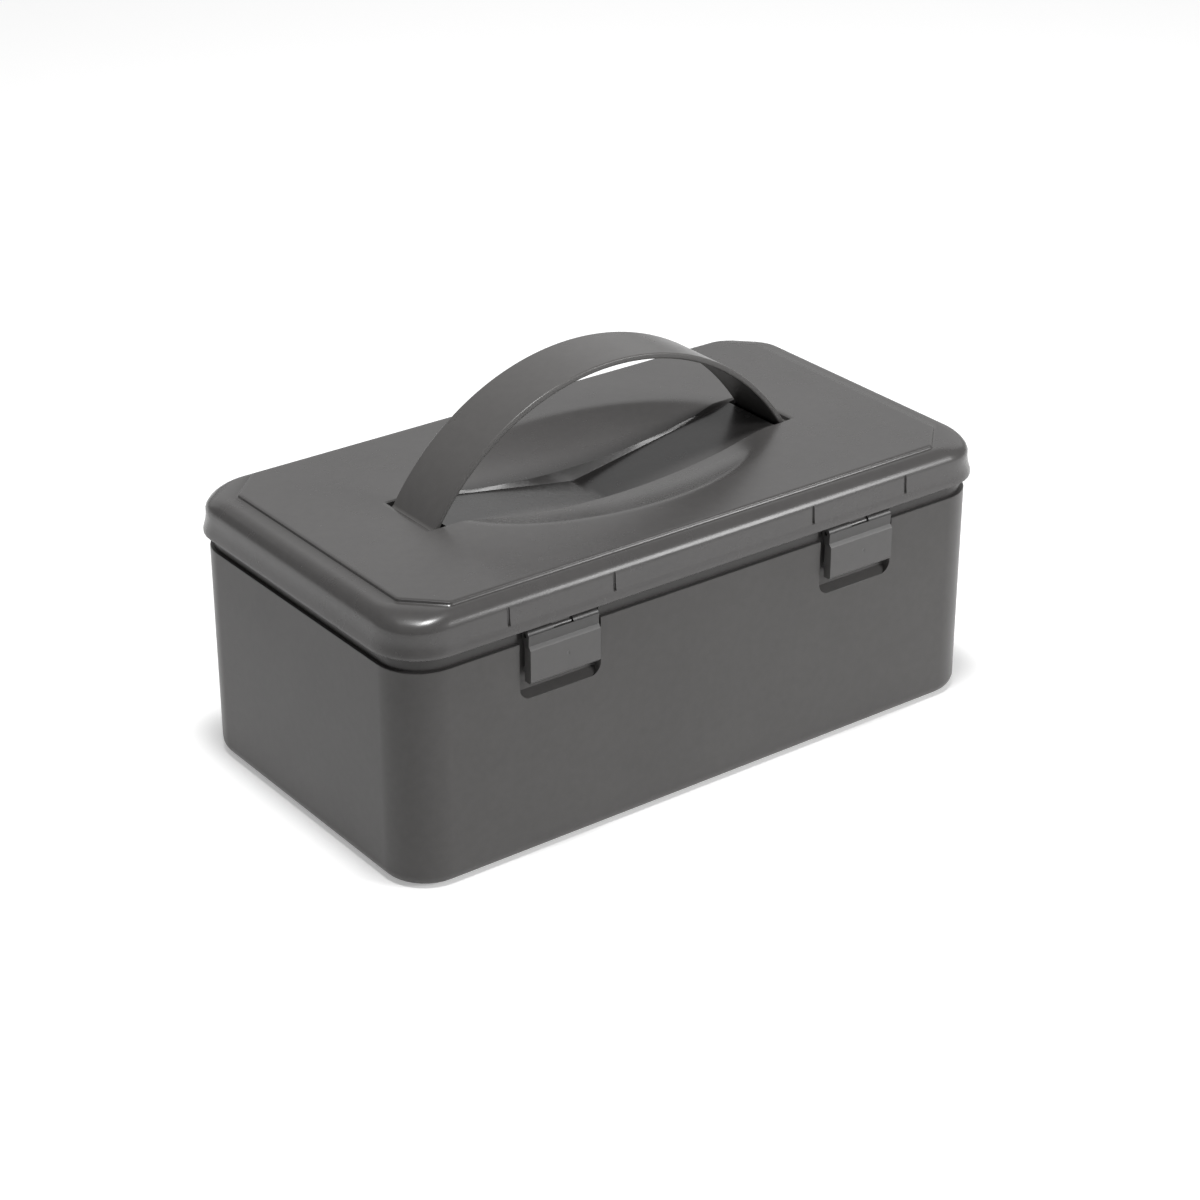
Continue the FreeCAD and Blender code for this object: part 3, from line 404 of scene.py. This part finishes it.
def build_lid():
    """The lid's moulding: flared lip, rounded shoulder, raised panel, dish, strap channels and slots."""
    wall_x, wall_y = LID_X - 3, LID_Y - 3
    panel_x, panel_y = LID_X - 14.8, LID_Y - 9.8
    outside = [
        (LID_X - 0.4, LID_Y - 0.4, "round", LID_CORNER - 0.4, LIP_Z),
        (LID_X, LID_Y, "round", LID_CORNER, LIP_Z + 0.4),
        (LID_X, LID_Y, "round", LID_CORNER, LIP_Z + 1.1),
    ]
    for run, rise in ((0.1, 1.7), (0.4, 3.0), (0.8, 4.6), (1.15, 6.4), (1.35, 8.2), (1.4, 9.6)):
        outside.append((LID_X - run, LID_Y - run, 0.0, LID_CORNER - 0.5 * run, LIP_Z + rise))
    shoulder_steps = 12
    for i in range(1, shoulder_steps + 1):
        t = radians(90) * i / shoulder_steps
        inwards = 1 - cos(t)
        run = FLARE_RUN + SHOULDER_TURN * inwards
        z = BAND_Z - SHOULDER_TURN + SHOULDER_TURN * sin(t)
        outside.append((LID_X - run, LID_Y - run, inwards, LID_CORNER - 1, z))
    outside += [
        (panel_x + 1.0, panel_y + 0.4, "cut", 17.0, BAND_Z - 0.1),
        (panel_x + 0.1, panel_y + 0.1, "cut", 16.7, BAND_Z + 0.25),
        (panel_x, panel_y, "cut", 16.7, PANEL_Z - 0.75),
        (panel_x - 0.2, panel_y - 0.2, "cut", 16.6, PANEL_Z - 0.3),
        (panel_x - 0.75, panel_y - 0.75, "cut", 16.3, PANEL_Z),
        (panel_x - 2.0, panel_y - 2.0, "cut", 15.8, PANEL_Z),
    ]
    inner_x, inner_y = wall_x - 0.5 - LID_WALL, wall_y - 0.5 - LID_WALL
    inside = [
        (LID_X - 0.8, LID_Y - 0.8, "round", LID_CORNER - 0.8, LIP_Z),
        (LID_X - LID_WALL, LID_Y - LID_WALL, "round", LID_CORNER - LID_WALL, LIP_Z + 0.4),
        (LID_X - LID_WALL, LID_Y - LID_WALL, "round", LID_CORNER - LID_WALL, NECK_TOP + 0.3),
        (inner_x, inner_y, "cut", 18.0, NECK_TOP + 0.3),
        (inner_x, inner_y, "cut", 20.0, BAND_Z - LID_WALL - 5.5),
        (inner_x - 1.5, inner_y - 1.5, "cut", 20.5, BAND_Z - LID_WALL - 2.4),
        (inner_x - 5, inner_y - 5, "cut", 20.5, BAND_Z - LID_WALL),
        (panel_x - LID_WALL, panel_y - LID_WALL, "cut", 15.6, BAND_Z - LID_WALL + 0.1),
        (panel_x - LID_WALL, panel_y - LID_WALL, "cut", 15.6, PANEL_Z - LID_WALL),
        (panel_x - 4, panel_y - 4, "cut", 15.0, PANEL_Z - LID_WALL),
    ]
    lid = stack("lid_moulding", inside[::-1] + outside)
    edit(lid)
    high, low = PANEL_Z, PANEL_Z - LID_WALL
    xs = cut_places(GRID_X, (SLOT_NEAR, SLOT_FAR))
    ys = cut_places(GRID_Y, (16.4, 17.2, 17.6, SLOT_HALF, 18.4, 18.8, 19.2, 19.6, 20.4))

    def flat(place, normal):
        """The panel's level faces, above and below."""
        return abs(normal.z) > 0.9 and min(abs(place.z - high), abs(place.z - low)) < 0.01

    for axis, places in ((0, xs), (1, ys)):
        for place in places:
            pick(lid, "FACE", flat)
            bpy.ops.mesh.bisect(plane_co=[place * MM if i == axis else 0 for i in range(3)],
                                plane_no=[float(i == axis) for i in range(3)])
    pick(lid, "FACE", lambda c, n: flat(c, n) and SLOT_NEAR < abs(c.x) < SLOT_FAR and abs(c.y) < SLOT_HALF)
    bpy.ops.mesh.delete(type="FACE")
    bm = bmesh.from_edit_mesh(lid.data)
    for v in bm.verts:
        x, y, z = v.co / MM
        upper = abs(z - high) < 0.001
        lower = abs(z - low) < 0.001
        if not (upper or lower) or abs(x) >= GRID_X or abs(y) >= GRID_Y:
            continue
        if upper:
            deep = max(dish_depth(x, y), channel_depth(x, y, SLOT_HALF + 0.5))
        else:
            deep = max(dish_depth(x, y, 2.5), channel_depth(x, y, SLOT_HALF + LID_WALL))
        v.co.z -= deep * MM
    bmesh.update_edit_mesh(lid.data)
    for sign in (-1, 1):
        pick(lid, "EDGE", lambda ends: all(by_slot(e, sign) for e in ends))
        bm = bmesh.from_edit_mesh(lid.data)
        for e in bm.edges:
            e.select = e.select and e.is_boundary
        bmesh.update_edit_mesh(lid.data)
        bpy.ops.mesh.bridge_edge_loops()
    bpy.ops.mesh.select_all(action="SELECT")
    bpy.ops.mesh.normals_make_consistent(inside=False)
    done()
    cutters = []
    for _, sign in SIDES:
        for lean in (-1, 1):
            x = sign * LATCH_X + lean * GROOVE_REACH
            groove = block("groove", (x - GROOVE_HALF, x + GROOVE_HALF), (-95, -90.7), (119.5, 128.5))
            cutters.append(soften(groove, 0.3, 2))
    combine(lid, cutters, "DIFFERENCE")
    finish_surface(lid, angle=35, keep_flat=False)
    add(lid, "lid", "lid", "lid")


def build_lid_mounts():
    """Knuckles, latch lugs and screw bosses, moulded on the lid."""
    for side, sign in SIDES:
        x = sign * LATCH_X
        across = (x - KNUCKLE_HALF, x + KNUCKLE_HALF)
        eye = rod("eye", HINGE_EYE, across, HINGE_Y, HINGE_Z)
        arm = prism("arm", [(101, 114.4), (89, 122.5), (89.5, 115.3), (94.4, 112.5)], across)
        knuckle = combine(eye, [arm], "UNION")
        combine(knuckle, [rod("bore", KNUCKLE_BORE, (x - 10, x + 10), HINGE_Y, HINGE_Z)], "DIFFERENCE")
        knuckle.name = f"lid_knuckle_{side}"
        add(finish_surface(soften(knuckle, 0.3, 2)), "lid", "lid")
        across = (x - LUG_HALF, x + LUG_HALF)
        lug = rod("lug", LUG_RADIUS, across, BARREL_Y, BARREL_Z)
        stem = block("stem", across, (BARREL_Y - 0.7, BARREL_Y + 2.4), (BARREL_Z, NECK_TOP + 1))
        combine(lug, [stem], "UNION")
        combine(lug, [rod("bore", LUG_BORE, (x - 6, x + 6), BARREL_Y, BARREL_Z)], "DIFFERENCE")
        lug.name = f"lid_lug_{side}"
        add(finish_surface(lug), "lid", "lid")
        for end, lean in (("front", -1), ("back", 1)):
            deselect()
            place = (sign * BOSS_X * MM, lean * BOSS_Y * MM, BOSS_Z * MM)
            bpy.ops.mesh.primitive_cylinder_add(vertices=32, radius=BOSS_RADIUS * MM, depth=BOSS_HEIGHT * MM,
                                                location=place)
            bpy.ops.object.transform_apply(location=True)
            boss = take(f"lid_boss_{side}_{end}")
            add(finish_surface(soften(boss, 0.3, 2)), "lid", "lid")


build_lid()
build_lid_mounts()


# -------------------------------------------------------------------- strap


def build_strap():
    """The carrying strap: tab, bend, arch, bend and tab, from one end to the other."""
    deselect()
    tip = BEND_X + STRAP_TAB
    bpy.ops.mesh.primitive_plane_add(size=1, location=(tip * MM, 0, TAB_Z * MM), rotation=(0, radians(90), 0))
    bpy.context.object.scale = (STRAP_THICK * MM, STRAP_WIDTH * MM, 1)
    bpy.ops.object.transform_apply(location=True, rotation=True, scale=True)
    strap = take("strap_moulding")
    edit(strap)
    bpy.ops.mesh.select_all(action="SELECT")
    bend = atan2(BEND_X, BEND_Z - ARCH_Z)

    def along(length):
        bpy.ops.mesh.extrude_region_move(TRANSFORM_OT_translate={"value": (-length * MM, 0, 0)})

    def round_a(x, z, angle, steps):
        bpy.ops.mesh.spin(steps=steps, angle=-angle, center=(x * MM, 0, z * MM), axis=(0, 1, 0))

    along(STRAP_TAB)
    round_a(BEND_X, BEND_Z, bend, 8)
    round_a(0, ARCH_Z, -2 * bend, 64)
    round_a(-BEND_X, BEND_Z, bend, 8)
    along(STRAP_TAB)
    bpy.ops.mesh.select_all(action="SELECT")
    bpy.ops.mesh.remove_doubles(threshold=0.00001)
    bpy.ops.mesh.normals_make_consistent(inside=False)
    done()
    soften(strap, 0.9, 4, 50)
    finish_surface(strap, angle=35)
    add(strap, "lid", "strap", "handle_strap")


build_strap()


# ---------------------------------------------------------------------- tub


def pocket_tool(x):
    """The shape of a latch pocket: rounded lower corners and a sloped bottom."""
    tool = prism("pocket", [(-110, POCKET_LOW), (-90.3, POCKET_LOW), (POCKET_Y, POCKET_LOW + 3),
                            (POCKET_Y, 130), (-110, 130)], (x - POCKET_HALF, x + POCKET_HALF))
    window = block("window", (x - POCKET_HALF, x + POCKET_HALF), (-105, -70), (POCKET_LOW, 128))
    edit(window)

    def lower_corner(ends):
        return all(e.z < POCKET_LOW + 0.1 for e in ends) and abs(ends[0].y - ends[1].y) > 10

    pick(window, "EDGE", lower_corner)
    bpy.ops.mesh.bevel(offset=6 * MM, segments=8)
    done()
    return combine(tool, [window], "INTERSECT")


def build_tub():
    """The tub's moulding, with its latch pockets, hinge ears, tray bearers and catches."""
    outside = []
    foot_steps = 8
    for i in range(foot_steps + 1):
        t = radians(90) * i / foot_steps
        grow = FOOT_ROUND * sin(t)
        outside.append((TUB_X - FOOT_ROUND + grow, TUB_Y - FOOT_ROUND + grow, "round",
                        TUB_CORNER - FOOT_ROUND + grow, FOOT_ROUND - FOOT_ROUND * cos(t)))
    neck_x, neck_y, neck_corner = TUB_X - NECK_SET_BACK, TUB_Y - NECK_SET_BACK, TUB_CORNER - NECK_SET_BACK
    in_x, in_y, in_corner = TUB_X - TUB_WALL, TUB_Y - TUB_WALL, TUB_CORNER - TUB_WALL
    outside += [
        (TUB_X, TUB_Y, "round", TUB_CORNER, LEDGE_Z - 0.6),
        (TUB_X - 0.15, TUB_Y - 0.15, "round", TUB_CORNER, LEDGE_Z - 0.2),
        (TUB_X - 0.5, TUB_Y - 0.5, "round", TUB_CORNER, LEDGE_Z),
        (neck_x, neck_y, "round", neck_corner, LEDGE_Z),
        (neck_x, neck_y, "round", neck_corner, NECK_TOP - 0.4),
        (neck_x - 0.15, neck_y - 0.15, "round", neck_corner, NECK_TOP),
    ]
    inside = [
        (in_x + 0.15, in_y + 0.15, "round", in_corner, NECK_TOP),
        (in_x, in_y, "round", in_corner, NECK_TOP - 0.4),
        (in_x, in_y, "round", in_corner, 6),
        (in_x - 0.9, in_y - 0.9, "round", in_corner - 1, 3.9),
        (in_x - 3, in_y - 3, "round", in_corner - 3, 3),
    ]
    tub = stack("tub_moulding", outside + inside)
    added, pockets, bores = [], [], []
    for _, sign in SIDES:
        x = sign * LATCH_X
        half = POCKET_HALF + LID_WALL
        behind = [(-89, POCKET_LOW - 2.2), (-84.1, POCKET_LOW + 0.8),
                  (-84.1, NECK_TOP - 0.01), (-88.1, NECK_TOP - 0.01)]
        added.append(prism("backing", behind, (x - half, x + half)))
        pockets.append(pocket_tool(x))
        for start in (x - 14, x + 9):
            across = (start, start + EAR_LENGTH)
            ear = rod("ear", HINGE_EYE, across, HINGE_Y, HINGE_Z)
            arm = prism("arm", [(101.4, 110), (94.4, 113.4), (89.3, LEDGE_Z + 0.01), (89.3, 94)], across)
            combine(ear, [arm], "UNION")
            added.append(ear)
        bores.append(rod("bore", EAR_BORE, (x - 16, x + 16), HINGE_Y, HINGE_Z))
        wall, shelf = sign * BEARER_WALL, sign * BEARER_SHELF
        added.append(block("bearer", sorted((wall, shelf)), (-BEARER_HALF, BEARER_HALF), (59.6, 62)))
        for y in (-44, 0, 44):
            added.append(prism("gusset", [(wall, 60.8), (shelf, 60.8), (shelf, 58.6), (wall, 45.6)],
                               (y - GUSSET_HALF, y + GUSSET_HALF), "y"))
    combine(tub, added, "UNION")
    combine(tub, pockets + bores, "DIFFERENCE")
    edit(tub)

    def rim(ends):
        """The pocket's edges on the front wall, below the ledge."""
        if not all(-90.35 < e.y < -90.25 and e.z < LEDGE_Z - 0.7 for e in ends):
            return False
        return all(min(abs(abs(e.x) - LATCH_X - lean * POCKET_HALF) for lean in (-1, 1)) < 0.01
                   or POCKET_LOW - 0.01 < e.z < POCKET_LOW + 6.01 for e in ends)

    pick(tub, "EDGE", rim)
    bpy.ops.mesh.bevel(offset=0.7 * MM, segments=3, clamp_overlap=True)
    done()
    finish_surface(tub, angle=30)
    add(tub, "tub", "tub", "tub")
    for side, sign in SIDES:
        x = sign * LATCH_X
        catch = prism("catch", [(-85.3, 94.9), (-85.3, 99.9), (POCKET_Y, 99.9), (-88, 98.5), (-88, 95.5),
                                (POCKET_Y, 94.9)], (x - CATCH_HALF, x + CATCH_HALF))
        catch.name = f"tub_catch_{side}"
        add(finish_surface(soften(catch, 0.3, 2)), "tub", "tub")


build_tub()


# ------------------------------------------------------------------ latches


def build_latch(side, sign):
    """One latch: a barrel on top, a stepped face with a dimple, and a bead inside."""
    x = sign * LATCH_X
    low = LATCH_LOW
    across = (x - LATCH_WIDTH / 2, x + LATCH_WIDTH / 2)
    latch = prism(f"latch_moulding_{side}", [
        (BARREL_Y - 3.05, BARREL_Z + 0.5), (-92.9, 107.0), (FACE_Y, 105.2),
        (FACE_Y, low + 1), (FACE_Y + 1, low), (-89.7, low), (-89.7, 93.0), (-88.4, 94.0),
        (-88.4, 95.5), (-89.7, 96.5), (-89.7, 105.0),
        (BARREL_Y + 2.5, BARREL_Z - 1.1), (BARREL_Y, BARREL_Z + 0.5),
    ], across)
    combine(latch, [rod("barrel", BARREL_RADIUS, across, BARREL_Y, BARREL_Z, 40)], "UNION")
    gap = (x - 5.4, x + 5.4)
    combine(latch, [
        rod("bore", BARREL_BORE, (across[0] - 1, across[1] + 1), BARREL_Y, BARREL_Z),
        block("room", gap, (BARREL_Y - 2.3, BARREL_Y + 5.8), (BARREL_Z - 3.2, BARREL_Z + 5.8)),
        block("top", gap, (BARREL_Y - 5.8, BARREL_Y), (BARREL_Z + 0.5, BARREL_Z + 5.8)),
    ], "DIFFERENCE")
    dimple_x = x + 1.5
    deselect()
    bpy.ops.mesh.primitive_uv_sphere_add(segments=24, ring_count=12, radius=2.2 * MM,
                                         location=(dimple_x * MM, (FACE_Y - 1.9) * MM, 98.5 * MM))
    bpy.ops.object.transform_apply(location=True)
    combine(latch, [take("dimple")], "DIFFERENCE")
    soften(latch, 0.45, 3, 38)
    finish_surface(latch)
    add(latch, f"latch_{side}", "latch", f"latch_{side}")


for side_name, side_sign in SIDES:
    build_latch(side_name, side_sign)


# ------------------------------------------------------------ camera, light


def studio():
    """A pale floor, three soft lamps and the camera."""
    scene = bpy.context.scene
    world = scene.world or bpy.data.worlds.new("studio")
    scene.world = world
    world.use_nodes = True
    background = world.node_tree.nodes["Background"]
    background.inputs["Color"].default_value = (1.0, 1.0, 1.0, 1.0)
    background.inputs["Strength"].default_value = 0.17
    deselect()
    bpy.ops.mesh.primitive_plane_add(size=8, location=(0, 0, 0))
    floor = take("studio_floor")
    paper = bpy.data.materials.new("pale_paper")
    paper.use_nodes = True
    shader = paper.node_tree.nodes["Principled BSDF"]
    shader.inputs["Base Color"].default_value = (0.86, 0.86, 0.86, 1)
    shader.inputs["Roughness"].default_value = 0.9
    shader.inputs["Specular IOR Level"].default_value = 0.1
    shader.inputs["Emission Color"].default_value = (1, 1, 1, 1)
    shader.inputs["Emission Strength"].default_value = 0.32
    floor.data.materials.append(paper)

    def lamp(name, place, aim, size, power):
        data = bpy.data.lights.new(name, "AREA")
        data.shape = "RECTANGLE"
        data.size, data.size_y = size
        data.energy = power
        obj = bpy.data.objects.new(name, data)
        scene.collection.objects.link(obj)
        obj.location = place
        obj.rotation_euler = (Vector(aim) - Vector(place)).to_track_quat("-Z", "Y").to_euler()

    lamp("back_softbox", (1.1, 2.0, 1.2), (0, 0, 0.1), (5.0, 1.8), 17)
    lamp("top_softbox", (-0.16, -0.15, 1.9), (0, 0, 0.1), (0.36, 0.36), 29)
    lamp("key_softbox", (1.2, -1.6, 0.9), (0, 0, 0.08), (0.7, 0.7), 23)

    azimuth, elevation, distance = radians(-36.8), radians(26.8), 1.4245
    back = Vector((sin(azimuth) * cos(elevation), -cos(azimuth) * cos(elevation), sin(elevation)))
    right = Vector((cos(azimuth), sin(azimuth), 0))
    up = back.cross(right)
    aim_across, aim_up = 0.00248, 0.05406
    target = right * aim_across + up * aim_up
    data = bpy.data.cameras.new("camera")
    data.lens = 86.7
    data.sensor_width = 36
    data.dof.use_dof = False
    camera = bpy.data.objects.new("camera", data)
    scene.collection.objects.link(camera)
    camera.location = target + back * distance
    camera.rotation_euler = (-back).to_track_quat("-Z", "Y").to_euler()
    scene.camera = camera
    scene.view_settings.view_transform = "Standard"


studio()

slot_of = {part["node"]: part["material_slot"] for part in frame["record"]["subparts"]}
for node in frame["nodes"]:
    obj = bpy.data.objects.get(node)
    if obj and obj.type == "MESH":
        for holder in obj.material_slots:
            holder.material = LOOKS[slot_of[node]]
